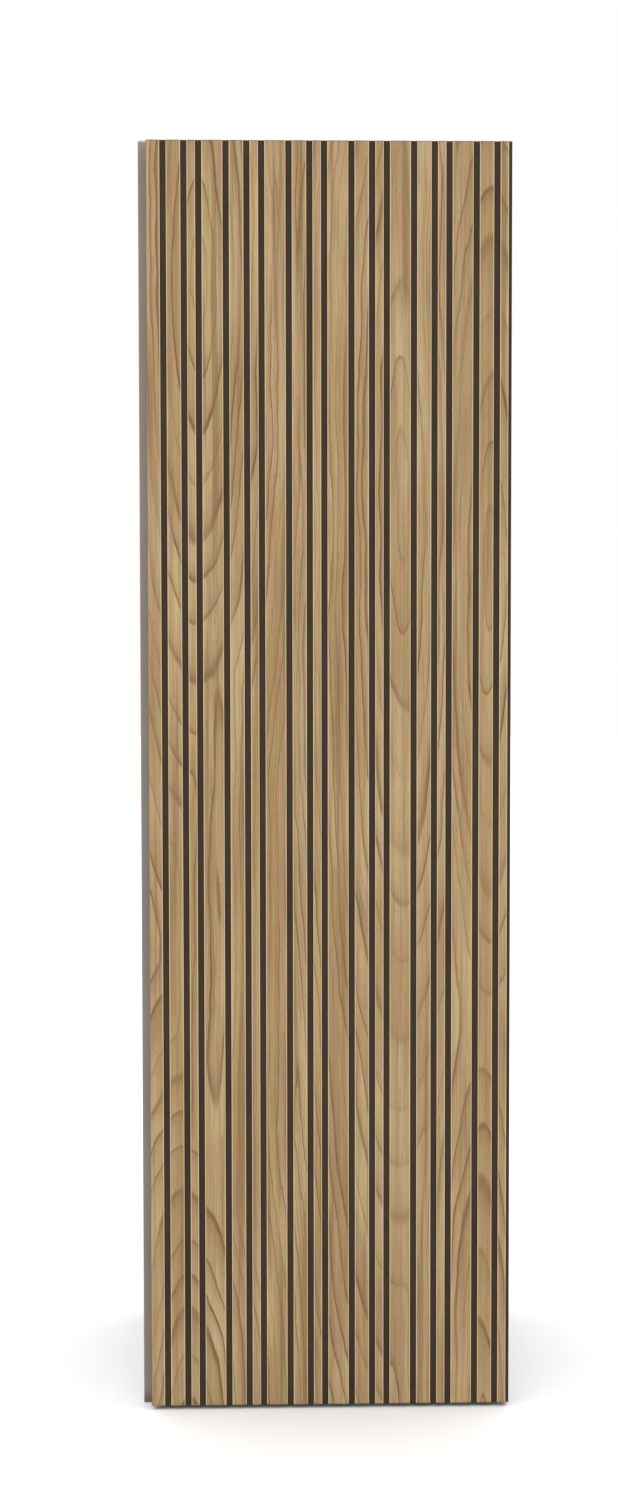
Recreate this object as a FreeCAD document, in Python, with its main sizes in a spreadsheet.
import os
import re
from collections import namedtuple
import FreeCAD
import Part
import Sketcher
from FreeCAD import Placement, Rotation, Vector

# Tall, narrow cabinet with one handleless door. The door is faced with upright slats of three widths
# on a dark backing and hangs on three concealed cup hinges at its right edge.
# Millimetres. X runs to the hinge side, Y to the back, Z up. The origin is the middle of the footprint.

SIZES = {
    # Carcass
    "carcass_height": 1200,
    "carcass_depth": 298,
    "board": 16,
    "edging": 2,
    "edging_round": 1,
    # Door and its place on the carcass
    "reveal": 4,
    "hinge_reveal": 0.8,
    "grip_strip": 8.5,
    "door_gap": 2,
    "backing": 18.8,
    "bevel_width": 7,
    "bevel_depth": 9,
    "backing_round": 0.8,
    "slat_wide": 20,
    "slat_medium": 13.9,
    "slat_narrow": 8.3,
    "slat_first": 12.8,
    "slat_thick": 1.2,
    "slat_round": 0.8,
    "groove": 5.4,
    "groove_end": 2.9,
    "repeat_count": 5,
    "bumper_r": 4,
    "bumper_inset": 30,
    "bumper_slack": 0.2,
    # Back panel, hanging rails and the wall screws' holes
    "back_thick": 3,
    "back_groove": 6,
    "back_end_gap": 0.5,
    "back_fit": 0.1,
    "rail_thick": 16,
    "rail_height": 70,
    "wall_hole_r": 3.5,
    "wall_hole_inset": 50,
    # Shelves and their pins
    "shelf_setback": 20,
    "shelf_side_gap": 1,
    "shelf_back_gap": 1,
    "lower_shelf_share": 0.25,
    "fixed_shelf_share": 0.4933,
    "upper_shelf_share": 0.655,
    "high_shelf_share": 0.82,
    "pin_r": 2.5,
    "pin_hole_depth": 9,
    "pin_rows": 5,
    "pin_pitch": 32,
    "pin_front_inset": 60,
    "pin_rear_inset": 50,
    "tongue_length": 8,
    "tongue_width": 8,
    # Cam locks, cam bolts and dowels
    "joint_inset": 55,
    "joint_hole_depth": 11,
    "joint_end_gap": 0.5,
    "joint_fit": 0.05,
    "dowel_r": 4,
    "dowel_hole_depth": 20,
    "dowel_offset": 32,
    "cam_r": 7.5,
    "cam_hole_depth": 12.5,
    "cam_inset": 24,
    "cam_slot_r": 3.4,
    "cam_recess_length": 9,
    "cam_recess_width": 1.6,
    "cam_recess_depth": 1.5,
    "bolt_thread_r": 2.5,
    "bolt_shank_r": 3,
    "bolt_neck_r": 1.8,
    "bolt_head_length": 3,
    "bolt_channel_r": 4,
    # Hinges
    "hinge_inset": 100,
    "hinge_middle_share": 0.575,
    "hinge_pin_r": 1.25,
    "hinge_fit": 0.05,
    "cup_r": 17.5,
    "cup_depth": 12,
    "cup_wall": 1,
    "cup_inset": 22.5,
    "cup_fit": 0.1,
    "rim_width": 1.5,
    "flange_thick": 1.2,
    "flange_width": 14,
    "flange_height": 60,
    "flange_offset": 9.5,
    "lug_reach": 2.4,
    "lug_thick": 1.5,
    "cup_pin_inset": 10,
    "cup_pin_depth": 3,
    "knee_in": 5,
    "knee_deep": 5,
    "link_thick": 2.5,
    "link_eye_r": 2.4,
    "link_half_width": 5.5,
    "cheek_gap": 0.4,
    "cheek_thick": 2,
    "arm_pin_inset": 18,
    "arm_pin_setback": 4,
    "arm_eye_r": 3.2,
    "arm_web": 2,
    "arm_web_inset": 10,
    "arm_front": 16,
    "arm_length": 44,
    "nose_root_inset": 8,
    "nose_root_lap": 4,
    "block_lap": 3,
    "wing_thick": 3,
    "wing_gap": 0.5,
    "wing_width": 16,
    "wing_end": 11,
    "plate_setback": 37,
    # Screws
    "screw_fit": 0.05,
    "plate_screw_r": 2.2,
    "plate_screw_spacing": 32,
    "plate_head_r": 3.5,
    "plate_head_height": 1.4,
    "cup_screw_r": 1.6,
    "cup_screw_length": 10,
    "cup_screw_edge": 6,
    "cup_head_r": 3,
    "cup_head_height": 1,
    "arm_screw_r": 1.9,
    "arm_screw_length": 8,
    "arm_screw_inset": 11,
    "arm_head_r": 3,
    "arm_head_height": 1.6,
    # How far a cutting shape runs past the face that it starts from
    "overrun": 1,
}

WORKED = {
    # Door front, left to right
    "slat_pitch": "slat_wide + slat_medium + slat_narrow + 3 * groove",
    "first_run": "slat_first + slat_medium + slat_narrow + 2 * groove",
    "door_width": "first_run + repeat_count * slat_pitch + groove_end",
    "carcass_width": "grip_strip + door_width + hinge_reveal",
    "left_face": "-carcass_width / 2",
    "right_face": "carcass_width / 2",
    "left_inner": "left_face + board",
    "right_inner": "right_face - board",
    "inner_width": "right_inner - left_inner",
    "door_left": "left_face + grip_strip",
    "door_right": "door_left + door_width",
    "sheet_left": "door_left + slat_first - slat_wide",
    # Planes from the front to the back
    "total_depth": "carcass_depth + door_gap + backing + slat_thick",
    "slat_front": "-total_depth / 2",
    "glue_plane": "slat_front + slat_thick",
    "door_rear": "glue_plane + backing",
    "carcass_front": "door_rear + door_gap",
    "carcass_rear": "total_depth / 2",
    "back_rear": "carcass_rear - rail_thick",
    "back_front": "back_rear - back_thick",
    "shelf_front": "carcass_front + shelf_setback",
    # Heights
    "door_height": "carcass_height - 2 * reveal",
    "top_under": "carcass_height - board",
    "lower_shelf": "lower_shelf_share * carcass_height",
    "fixed_shelf": "fixed_shelf_share * carcass_height",
    "upper_shelf": "upper_shelf_share * carcass_height",
    "high_shelf": "high_shelf_share * carcass_height",
    "hinge_low": "reveal + hinge_inset",
    "hinge_middle": "hinge_middle_share * carcass_height",
    "hinge_high": "carcass_height - reveal - hinge_inset",
    # Panel joints, from the front
    "joint_front": "carcass_front + joint_inset",
    "joint_rear": "back_front - joint_inset",
    "tongue_height": "2 * pin_r",
    # Hinge pins and the link's knee, seen from above
    "cup_x": "door_right - cup_inset",
    "arm_pin_x": "right_inner - arm_pin_inset",
    "arm_pin_y": "carcass_front + arm_pin_setback",
    "cup_pin_x": "door_right - cup_pin_inset",
    "cup_pin_y": "door_rear - cup_pin_depth",
    "knee_x": "cup_pin_x - knee_in",
    "knee_y": "cup_pin_y - knee_deep",
    "cheek_inner": "link_half_width + cheek_gap",
    "cheek_outer": "cheek_inner + cheek_thick",
    "web_inner": "right_inner - arm_web_inset",
    "web_outer": "web_inner - arm_web",
    "web_front": "carcass_front + arm_front",
    "nose_root_x": "right_inner - nose_root_inset",
    "nose_root_y": "web_front + nose_root_lap",
    "wing_face": "right_inner - wing_thick",
    "plate_y": "carcass_front + plate_setback",
    "wing_height": "plate_screw_spacing + 2 * wing_end",
    "cup_screw_x": "cup_x - flange_offset",
    "cup_screw_spacing": "flange_height - 2 * cup_screw_edge",
    "flange_face": "door_rear + flange_thick",
    "arm_screw_front": "web_front + arm_screw_inset",
    "arm_screw_rear": "web_front + arm_length - arm_screw_inset",
}

SIDES = ("left", "right")
# The left face of each side panel
BOARD_START = {"left": "left_face", "right": "right_inner"}
QUARTER_TURN = 90

doc = FreeCAD.newDocument("slatted_cabinet")
sheet = doc.addObject("Spreadsheet::Sheet", "Sizes")
worked = doc.addObject("App::VarSet", "Worked")
pieces = []


def full(text):
    """The expression with each size's name led by the object that holds it."""
    def lead(match):
        word = match.group()
        if word in SIZES:
            return "Sizes." + word
        return "Worked." + word if word in WORKED else word
    return re.sub(r"[a-z_]+", lead, text)


def value(text):
    return float(sheet.evalExpression(full(text)))


def bind(thing, **texts):
    for name, text in texts.items():
        thing.setExpression(name, full(text))
    return thing


def put(thing, corner, rotation=Rotation()):
    """Places a thing, with its coordinates bound to the sizes."""
    thing.Placement = Placement(Vector(), rotation)
    for axis, text in zip("xyz", corner):
        thing.setExpression("Placement.Base." + axis, full(text))
    return thing


def block(size, corner):
    box = bind(doc.addObject("Part::Box", "block"), Length=size[0], Width=size[1], Height=size[2])
    return put(box, corner)


TURNS = {
    "x": Rotation(Vector(0, 1, 0), QUARTER_TURN),
    "y": Rotation(Vector(1, 0, 0), -QUARTER_TURN),
    "z": Rotation(),
}


def rod(radius, length, start, along):
    round_bar = bind(doc.addObject("Part::Cylinder", "rod"), Radius=radius, Height=length)
    return put(round_bar, start, TURNS[along])


def bar(start, end, half, bottom, height):
    """An upright flat bar from one point to another in plan, half its thickness to each side."""
    (ax, ay), (bx, by) = start, end
    run = f"sqrt(({bx} - {ax})^2 + ({by} - {ay})^2)"
    corner = (f"{ax} + {half} * ({by} - {ay}) / {run}", f"{ay} - {half} * ({bx} - {ax}) / {run}", bottom)
    flat = block((run, f"2 * {half}", height), corner)
    flat.setExpression("Placement.Rotation.Angle", full(f"atan2({by} - {ay}; {bx} - {ax})"))
    return flat


def joined(things):
    whole = doc.addObject("Part::MultiFuse", "joined")
    whole.Shapes = things
    whole.Refine = True
    return whole


def together(things):
    loose = doc.addObject("Part::Compound", "together")
    loose.Links = things
    return loose


def cut(base, tools):
    rest = doc.addObject("Part::Cut", "cut")
    rest.Base = base
    rest.Tool = tools[0] if len(tools) == 1 else together(tools)
    rest.Refine = True
    return rest


def piece(label, thing, solids=1):
    """Names a finished piece and says how many separate solids it has."""
    thing.Label = label
    pieces.append((thing, solids))
    return thing


def outline_body(points, height):
    """A body padded upwards from a closed outline whose corners are bound to the sizes."""
    body = doc.addObject("PartDesign::Body", "body")
    sketch = body.newObject("Sketcher::SketchObject", "outline")
    plane = next(item for item in body.Origin.OriginFeatures if item.Role == "XY_Plane")
    sketch.AttachmentSupport = (plane, [""])
    sketch.MapMode = "FlatFace"
    corners = [Vector(value(x), value(y), 0) for x, y in points]
    for start, end in zip(corners, corners[1:] + corners[:1]):
        sketch.addGeometry(Part.LineSegment(start, end))
    for line in range(len(corners)):
        sketch.addConstraint(Sketcher.Constraint("Coincident", line, 2, (line + 1) % len(corners), 1))
    for line, (corner, texts) in enumerate(zip(corners, points)):
        for axis, number, text in zip("xy", corner, texts):
            rule = Sketcher.Constraint("Distance" + axis.upper(), -1, 1, line, 1, number)
            name = f"{axis}{line}"
            sketch.renameConstraint(sketch.addConstraint(rule), name)
            sketch.setExpression("Constraints." + name, full(text))
    pad = bind(body.newObject("PartDesign::Pad", "pad"), Length=height)
    pad.Profile = sketch
    doc.recompute()
    return body, pad


# Edges of a block, each by its middle in half sizes from the block's left, front, lower corner
FRONT_UPRIGHTS = {(0, 0, 1), (2, 0, 1)}
FRONT_LEVELS = {(1, 0, 0), (1, 0, 2)}
END_STRIP_EDGES = {
    "left": FRONT_UPRIGHTS | {(1, 0, 2), (0, 1, 2)},
    "right": FRONT_UPRIGHTS | {(1, 0, 2), (2, 1, 2)},
}


def round_edges(body, pad, radius, wanted):
    """Rounds the edges of a padded body whose middles are wanted."""
    names = [f"Edge{index}" for index, edge in enumerate(pad.Shape.Edges, start=1)
             if wanted(edge.CenterOfMass)]
    rounding = bind(body.newObject("PartDesign::Fillet", "rounding"), Radius=radius)
    rounding.Base = (pad, names)


def rounded_block(size, corner, radius, edges):
    """A block with some of its edges rounded."""
    width, depth, height = size
    body, pad = outline_body([("0", "0"), (width, "0"), (width, depth), ("0", depth)], height)
    lengths = [value(text) for text in size]
    round_edges(body, pad, radius, lambda middle: tuple(
        round(2 * at / length) for at, length in zip(middle, lengths)) in edges)
    return put(body, corner)


def across(side, radius, into_side, into_panel, y, z):
    """A rod across the face where a side panel meets the inside, with its reach each way."""
    length = f"({into_side}) + ({into_panel})"
    start = f"left_inner - ({into_side})" if side == "left" else f"right_inner - ({into_panel})"
    return rod(radius, length, (start, y, z), "x")


def from_side(side, distance):
    """The place at a distance inwards from a side panel's inner face."""
    return f"left_inner + {distance}" if side == "left" else f"right_inner - {distance}"


def fill_sheet():
    for row, (name, size) in enumerate(SIZES.items(), start=1):
        sheet.set(f"A{row}", name)
        sheet.set(f"B{row}", str(size))
        sheet.setAlias(f"B{row}", name)
    doc.recompute()
    for name, text in WORKED.items():
        worked.addProperty("App::PropertyFloat", name)
        worked.setExpression(name, full(text))
    doc.recompute()


# Each joined panel: its lower face and the face that the cam locks turn from, up or down
PANELS = {
    "top_panel": ("top_under", "up"),
    "fixed_shelf": ("fixed_shelf", "down"),
    "bottom_panel": ("0", "down"),
}
LOOSE_SHELVES = {"shelf_lower": "lower_shelf", "shelf_upper": "upper_shelf", "shelf_high": "high_shelf"}
HINGES = {"low": "hinge_low", "middle": "hinge_middle", "high": "hinge_high"}


PanelJoint = namedtuple("PanelJoint", "panel side y dowel_y z under cam_face")


def panel_joints():
    """Each place where a cam bolt, with a dowel beside it, joins a panel to a side."""
    rows = {"joint_front": "joint_front + dowel_offset", "joint_rear": "joint_rear - dowel_offset"}
    for panel, (under, cam_face) in PANELS.items():
        for side in SIDES:
            for y, dowel_y in rows.items():
                yield PanelJoint(panel, side, y, dowel_y, f"{under} + board / 2", under, cam_face)


def pin_places():
    """Each shelf pin hole: its side, depth and height, and whether a pin is in it."""
    rows = int(value("pin_rows"))
    for under in LOOSE_SHELVES.values():
        for side in SIDES:
            for y in ("carcass_front + pin_front_inset", "back_front - pin_rear_inset"):
                for row in range(rows):
                    step = row - rows // 2
                    yield side, y, f"{under} - tongue_height / 2 + {step} * pin_pitch", step == 0


def back_slot(corner, size):
    """The groove that takes the back panel: its depth range is the same in every board."""
    (x, z), (width, height) = corner, size
    return block((width, "back_thick + 2 * back_fit", height), (x, "back_front - back_fit", z))


def side_panel(side):
    tools = []
    for joint in panel_joints():
        if joint.side == side:
            tools.append(across(side, "bolt_thread_r", "joint_hole_depth", "overrun", joint.y, joint.z))
            tools.append(across(side, "dowel_r", "joint_hole_depth", "overrun", joint.dowel_y, joint.z))
    tools += [across(side, "pin_r", "pin_hole_depth", "overrun", y, z)
              for at, y, z, pinned in pin_places() if at == side]
    slot_x = "left_inner - back_groove" if side == "left" else "right_inner - overrun"
    tools.append(back_slot((slot_x, "board - back_groove"),
                           ("back_groove + overrun", "top_under - board + 2 * back_groove")))
    if side == "right":
        tools += [across(side, "plate_screw_r + screw_fit", "joint_hole_depth", "overrun", "plate_y", z)
                  for z in plate_screw_heights()]
    x = BOARD_START[side]
    core = block(("board", "carcass_depth - edging", "carcass_height - edging"),
                 (x, "carcass_front + edging", "0"))
    piece(f"side_{side}", cut(core, tools))
    front = rounded_block(("board", "edging", "carcass_height - edging"), (x, "carcass_front", "0"),
                          "edging_round", FRONT_UPRIGHTS)
    end = rounded_block(("board", "carcass_depth", "edging"), (x, "carcass_front", "carcass_height - edging"),
                        "edging_round", END_STRIP_EDGES[side])
    piece(f"side_{side}_edging", together([front, end]), 2)


def joined_panel(name):
    under = PANELS[name][0]
    inside = name == "fixed_shelf"
    front = "shelf_front" if inside else "carcass_front"
    rear = "back_front" if inside else "carcass_rear"
    core = block(("inner_width", f"{rear} - {front} - edging", "board"),
                 ("left_inner", f"{front} + edging", under))
    tools = []
    for joint in panel_joints():
        if joint.panel == name:
            channel = across(joint.side, "bolt_channel_r", "overrun", "cam_inset", joint.y, joint.z)
            pocket = cam_rod(joint, "cam_r", "cam_hole_depth + overrun", "overrun")
            tools.append(joined([channel, pocket]))
            tools.append(across(joint.side, "dowel_r", "overrun", "dowel_hole_depth", joint.dowel_y, joint.z))
    if not inside:
        slot_z = "top_under - overrun" if name == "top_panel" else "board - back_groove"
        tools.append(back_slot(("left_inner - overrun", slot_z),
                               ("inner_width + 2 * overrun", "back_groove + overrun")))
    piece(name, cut(core, tools))


def cam_rod(joint, radius, height, past):
    """An upright rod on a cam lock's axis, from the panel's cam face into the board."""
    down = f"{joint.under} - {past}"
    up = f"{joint.under} + board + {past} - ({height})"
    bottom = down if joint.cam_face == "down" else up
    return rod(radius, height, (from_side(joint.side, "cam_inset"), joint.y, bottom), "z")


def cam_lock(joint):
    """The turned lock: a short drum with a slot for the bolt's head and a recess for the screwdriver."""
    drum = cam_rod(joint, "cam_r - joint_fit", "cam_hole_depth - joint_end_gap", "0")
    slot = across(joint.side, "cam_slot_r", "cam_r + overrun - cam_inset", "cam_inset + cam_slot_r",
                  joint.y, joint.z)
    recess_x = f"{from_side(joint.side, 'cam_inset')} - cam_recess_length / 2"
    down = f"{joint.under} - overrun"
    up = f"{joint.under} + board - cam_recess_depth"
    recess = block(("cam_recess_length", "cam_recess_width", "cam_recess_depth + overrun"),
                   (recess_x, f"{joint.y} - cam_recess_width / 2", down if joint.cam_face == "down" else up))
    return cut(drum, [slot, recess])


def cam_bolt(joint):
    """The bolt in the side panel whose head the cam lock pulls on."""
    side, y, z = joint.side, joint.y, joint.z
    neck_start = "cam_inset - cam_r"
    head_start = "cam_inset - bolt_head_length / 2"
    return joined([
        across(side, "bolt_thread_r - joint_fit", "joint_hole_depth - joint_end_gap", "overrun", y, z),
        across(side, "bolt_shank_r", "0", neck_start, y, z),
        across(side, "bolt_neck_r", f"-({neck_start}) + overrun", f"{head_start} + overrun", y, z),
        across(side, "bolt_shank_r", f"-({head_start})", f"{head_start} + bolt_head_length", y, z)])


def joinery():
    joints = list(panel_joints())
    dowel_reach = ("joint_hole_depth - joint_end_gap", "dowel_hole_depth - joint_end_gap")
    dowels = [across(joint.side, "dowel_r - joint_fit", *dowel_reach, joint.dowel_y, joint.z)
              for joint in joints]
    piece("dowels", together(dowels), len(joints))
    piece("cam_bolts", together([cam_bolt(joint) for joint in joints]), len(joints))
    piece("cam_locks", together([cam_lock(joint) for joint in joints]), len(joints))


def shelves():
    start = "left_inner + shelf_side_gap"
    length = "inner_width - 2 * shelf_side_gap"
    depth = "back_front - shelf_back_gap - shelf_front - edging"
    strips = []
    for name, (under, cam_face) in PANELS.items():
        front = "shelf_front" if name == "fixed_shelf" else "carcass_front"
        strips.append(rounded_block(("inner_width", "edging", "board"), ("left_inner", front, under),
                                    "edging_round", FRONT_LEVELS))
    for name, under in LOOSE_SHELVES.items():
        piece(name, block((length, depth, "board"), (start, "shelf_front + edging", under)))
        strips.append(rounded_block((length, "edging", "board"), (start, "shelf_front", under),
                                    "edging_round", FRONT_LEVELS))
    piece("panel_edging", together(strips), len(strips))
    pins = []
    for side, y, z, pinned in pin_places():
        if pinned:
            stem = across(side, "pin_r - joint_fit", "pin_hole_depth - joint_end_gap", "overrun", y, z)
            tongue_x = "left_inner" if side == "left" else "right_inner - tongue_length"
            tongue = block(("tongue_length", "tongue_width", "tongue_height"),
                           (tongue_x, f"{y} - tongue_width / 2", f"{z} - tongue_height / 2"))
            pins.append(joined([stem, tongue]))
    piece("shelf_pins", together(pins), len(pins))


RAILS = {"hanging_rail_top": "top_under - rail_height", "hanging_rail_bottom": "board"}


def wall_holes(start, length, rails):
    """The holes for the wall screws, through the rails and the back panel in front of them."""
    centres = [(from_side(side, "wall_hole_inset"), start, f"{RAILS[rail]} + rail_height / 2")
               for rail in rails for side in SIDES]
    return [rod("wall_hole_r", length, centre, "y") for centre in centres]


def back():
    grow = "(back_groove - back_end_gap)"
    size = (f"inner_width + 2 * {grow}", "back_thick", f"top_under - board + 2 * {grow}")
    core = block(size, (f"left_inner - {grow}", "back_front", f"board - {grow}"))
    piece("back_panel", cut(core, wall_holes("back_front - overrun", "back_thick + 2 * overrun", RAILS)))
    for name, bottom in RAILS.items():
        rail = block(("inner_width", "rail_thick", "rail_height"), ("left_inner", "back_rear", bottom))
        piece(name, cut(rail, wall_holes("back_rear - overrun", "rail_thick + 2 * overrun", [name])))


def slats():
    """Upright oak strips in a repeating wide, medium, narrow order; the first is cut by the door's edge."""
    runs = []
    for repeat in range(int(value("repeat_count")) + 1):
        start = f"sheet_left + {repeat} * slat_pitch"
        runs.append((start, "slat_wide") if repeat else ("door_left", "slat_first"))
        runs.append((f"{start} + slat_wide + groove", "slat_medium"))
        runs.append((f"{start} + slat_wide + slat_medium + 2 * groove", "slat_narrow"))
    for number, (start, width) in enumerate(runs, start=1):
        slat = rounded_block((width, "slat_thick", "door_height"), (start, "slat_front", "reveal"),
                             "slat_round", FRONT_UPRIGHTS)
        piece(f"slat_{number:02d}", slat)


def plate_screw_heights(hinges=tuple(HINGES.values())):
    return [f"{z} {sign} plate_screw_spacing / 2" for z in hinges for sign in "-+"]


def cup_screw_heights(hinges=tuple(HINGES.values())):
    return [f"{z} {sign} cup_screw_spacing / 2" for z in hinges for sign in "-+"]


def door_board():
    """The dark board behind the slats, bevelled behind its free edge as a finger grip."""
    corners = [("0", "0"), ("door_width", "0"), ("door_width", "backing"), ("bevel_width", "backing"),
               ("0", "backing - bevel_depth")]
    body, pad = outline_body(corners, "door_height")
    rear = value("backing")
    round_edges(body, pad, "backing_round", lambda middle: abs(middle.y - rear) < Part.Precision.confusion())
    put(body, ("door_left", "glue_plane", "reveal"))
    cup_hole = "cup_depth + cup_fit"
    tools = [rod("cup_r + cup_fit", f"{cup_hole} + overrun", ("cup_x", f"door_rear - ({cup_hole})", z), "y")
             for z in HINGES.values()]
    tools += [rod("cup_screw_r + screw_fit", "cup_screw_length + overrun",
                  ("cup_screw_x", "door_rear - cup_screw_length", z), "y") for z in cup_screw_heights()]
    piece("door_backing", cut(body, tools))
    bumpers = [rod("bumper_r", "door_gap - bumper_slack", ("left_inner + bumper_inset", "door_rear", z), "y")
               for z in ("(reveal + board) / 2", "carcass_height - (reveal + board) / 2")]
    piece("door_bumpers", together(bumpers), len(bumpers))


# Places on a hinge, seen from above, and the arm screws' depths
ARM_PIN = ("arm_pin_x", "arm_pin_y")
CUP_PIN = ("cup_pin_x", "cup_pin_y")
KNEE = ("knee_x", "knee_y")
ARM_SCREWS = ("arm_screw_front", "arm_screw_rear")


def pin_hole(pin, z):
    reach = "(cheek_outer + overrun)"
    return rod("hinge_pin_r + hinge_fit", f"2 * {reach}", (*pin, f"{z} - {reach}"), "z")


def hinge_plate(name, z):
    """The plate on the side panel: two wings for the screws and a block that the arm sits on."""
    body = block(("arm_web_inset", "arm_length - 2 * block_lap", "2 * link_half_width"),
                 ("web_inner", "web_front + block_lap", f"{z} - link_half_width"))
    wings = block(("wing_thick", "wing_width", "wing_height"),
                  ("wing_face", "plate_y - wing_width / 2", f"{z} - wing_height / 2"))
    holes = [rod("plate_screw_r + screw_fit", "wing_thick + 2 * overrun",
                 ("wing_face - overrun", "plate_y", at), "x") for at in plate_screw_heights([z])]
    holes += [rod("arm_screw_r + screw_fit", "arm_screw_length + overrun", ("web_inner - overrun", y, z), "x")
              for y in ARM_SCREWS]
    piece(f"hinge_plate_{name}", cut(joined([body, wings]), holes))


def hinge_arm(name, z):
    """The steel arm: a web over the plate's block, two cheeks and a nose that holds the arm pin."""
    web = ("arm_web", "arm_length", "2 * cheek_outer")
    solids = [block(web, ("web_outer", "web_front", f"{z} - cheek_outer"))]
    for bottom in (f"{z} + cheek_inner", f"{z} - cheek_outer"):
        solids.append(block(("wing_face - wing_gap - web_outer", "arm_length", "cheek_thick"),
                            ("web_outer", "web_front", bottom)))
        solids.append(bar(ARM_PIN, ("nose_root_x", "nose_root_y"), "arm_eye_r", bottom, "cheek_thick"))
        solids.append(rod("arm_eye_r", "cheek_thick", (*ARM_PIN, bottom), "z"))
    holes = [pin_hole(ARM_PIN, z)]
    holes += [rod("arm_screw_r + screw_fit", "arm_web + 2 * overrun", ("web_outer - overrun", y, z), "x")
              for y in ARM_SCREWS]
    piece(f"hinge_arm_{name}", cut(joined(solids), holes))


def hinge_link(name, z):
    """The bent link between the arm pin and the cup pin."""
    bottom = f"{z} - link_half_width"
    height = "2 * link_half_width"
    half = "(link_thick / 2)"
    solids = [rod("link_eye_r", height, (*ARM_PIN, bottom), "z"),
              rod("link_eye_r", height, (*CUP_PIN, bottom), "z"),
              rod(half, height, (*KNEE, bottom), "z"),
              bar(ARM_PIN, KNEE, half, bottom, height),
              bar(KNEE, CUP_PIN, half, bottom, height)]
    piece(f"hinge_link_{name}", cut(joined(solids), [pin_hole(ARM_PIN, z), pin_hole(CUP_PIN, z)]))


def hinge_cup(name, z):
    """The cup let into the door, with its rim, its screw flange and two lugs that hold the cup pin."""
    shell = rod("cup_r", "cup_depth", ("cup_x", "door_rear - cup_depth", z), "y")
    rim = rod("cup_r + rim_width", "flange_thick", ("cup_x", "door_rear", z), "y")
    flange = block(("flange_width", "flange_thick", "flange_height"),
                   ("cup_screw_x - flange_width / 2", "door_rear", f"{z} - flange_height / 2"))
    hollow = rod("cup_r - cup_wall", "cup_depth - cup_wall + flange_thick + overrun",
                 ("cup_x", "door_rear - cup_depth + cup_wall", z), "y")
    screw_holes = [rod("cup_screw_r + screw_fit", "flange_thick + 2 * overrun",
                       ("cup_screw_x", "door_rear - overrun", at), "y") for at in cup_screw_heights([z])]
    cup = cut(joined([shell, rim, flange]), [hollow] + screw_holes)
    lug = ("cup_x + cup_r - cup_pin_x + lug_reach", "lug_reach + cup_pin_depth", "lug_thick")
    lugs = together([block(lug, ("cup_pin_x - lug_reach", "cup_pin_y - lug_reach", bottom))
                     for bottom in (f"{z} + cheek_inner", f"{z} - cheek_inner - lug_thick")])
    inside = rod("cup_r - cup_wall / 2", "cup_depth", ("cup_x", "door_rear - cup_depth", z), "y")
    trimmed = doc.addObject("Part::Common", "trimmed")
    trimmed.Base = lugs
    trimmed.Tool = inside
    piece(f"hinge_cup_{name}", cut(joined([cup, trimmed]), [pin_hole(CUP_PIN, z)]))


def side_screw(name, length, face, y, z):
    """A screw that runs towards the right side panel, with its head on the face that it holds."""
    head = rod(f"{name}_head_r", f"{name}_head_height", (f"{face} - {name}_head_height", y, z), "x")
    return joined([head, rod(f"{name}_screw_r", length, (face, y, z), "x")])


def cup_screw(z):
    """A screw that runs from a cup's flange into the door."""
    length = "flange_thick + cup_screw_length - joint_end_gap"
    head = rod("cup_head_r", "cup_head_height", ("cup_screw_x", "flange_face", z), "y")
    return joined([head, rod("cup_screw_r", length, ("cup_screw_x", f"flange_face - ({length})", z), "y")])


def hinge_hardware():
    heights = HINGES.values()
    arm_pins = [rod("hinge_pin_r", "2 * cheek_outer", (*ARM_PIN, f"{z} - cheek_outer"), "z") for z in heights]
    piece("hinge_arm_pins", together(arm_pins), len(arm_pins))
    reach = "(cheek_inner + lug_thick)"
    cup_pins = [rod("hinge_pin_r", f"2 * {reach}", (*CUP_PIN, f"{z} - {reach}"), "z") for z in heights]
    piece("hinge_cup_pins", together(cup_pins), len(cup_pins))
    plate_length = "wing_thick + joint_hole_depth - joint_end_gap"
    plate_screws = [side_screw("plate", plate_length, "wing_face", "plate_y", z)
                    for z in plate_screw_heights()]
    piece("hinge_plate_screws", together(plate_screws), len(plate_screws))
    arm_length = "arm_web + arm_screw_length - joint_end_gap"
    arm_screws = [side_screw("arm", arm_length, "web_outer", y, z) for z in heights for y in ARM_SCREWS]
    piece("hinge_arm_screws", together(arm_screws), len(arm_screws))
    cup_screws = [cup_screw(z) for z in cup_screw_heights()]
    piece("hinge_cup_screws", together(cup_screws), len(cup_screws))


def check():
    """Stops if an object failed or a piece isn't the number of sound solids that it should be."""
    for thing in doc.Objects:
        if "Invalid" in thing.State or "Error" in thing.State:
            raise RuntimeError(f"{thing.Label} is {thing.State}")
    for thing, solids in pieces:
        shape = thing.Shape
        if shape.isNull() or not shape.isValid() or len(shape.Solids) != solids:
            raise RuntimeError(f"{thing.Label} has {len(shape.Solids)} solids, not {solids} sound ones")


def write():
    os.makedirs("parts", exist_ok=True)
    for thing, solids in pieces:
        thing.Shape.exportStep(os.path.join("parts", thing.Label + ".step"))
        box = thing.Shape.BoundBox
        size = f"{box.XLength:.1f} x {box.YLength:.1f} x {box.ZLength:.1f} mm"
        print(f"{thing.Label}: {solids} solid(s), {size}")


fill_sheet()
for side in SIDES:
    side_panel(side)
for name in PANELS:
    joined_panel(name)
shelves()
back()
joinery()
slats()
door_board()
for name, height in HINGES.items():
    hinge_plate(name, height)
    hinge_arm(name, height)
    hinge_link(name, height)
    hinge_cup(name, height)
hinge_hardware()
doc.recompute()
check()
write()
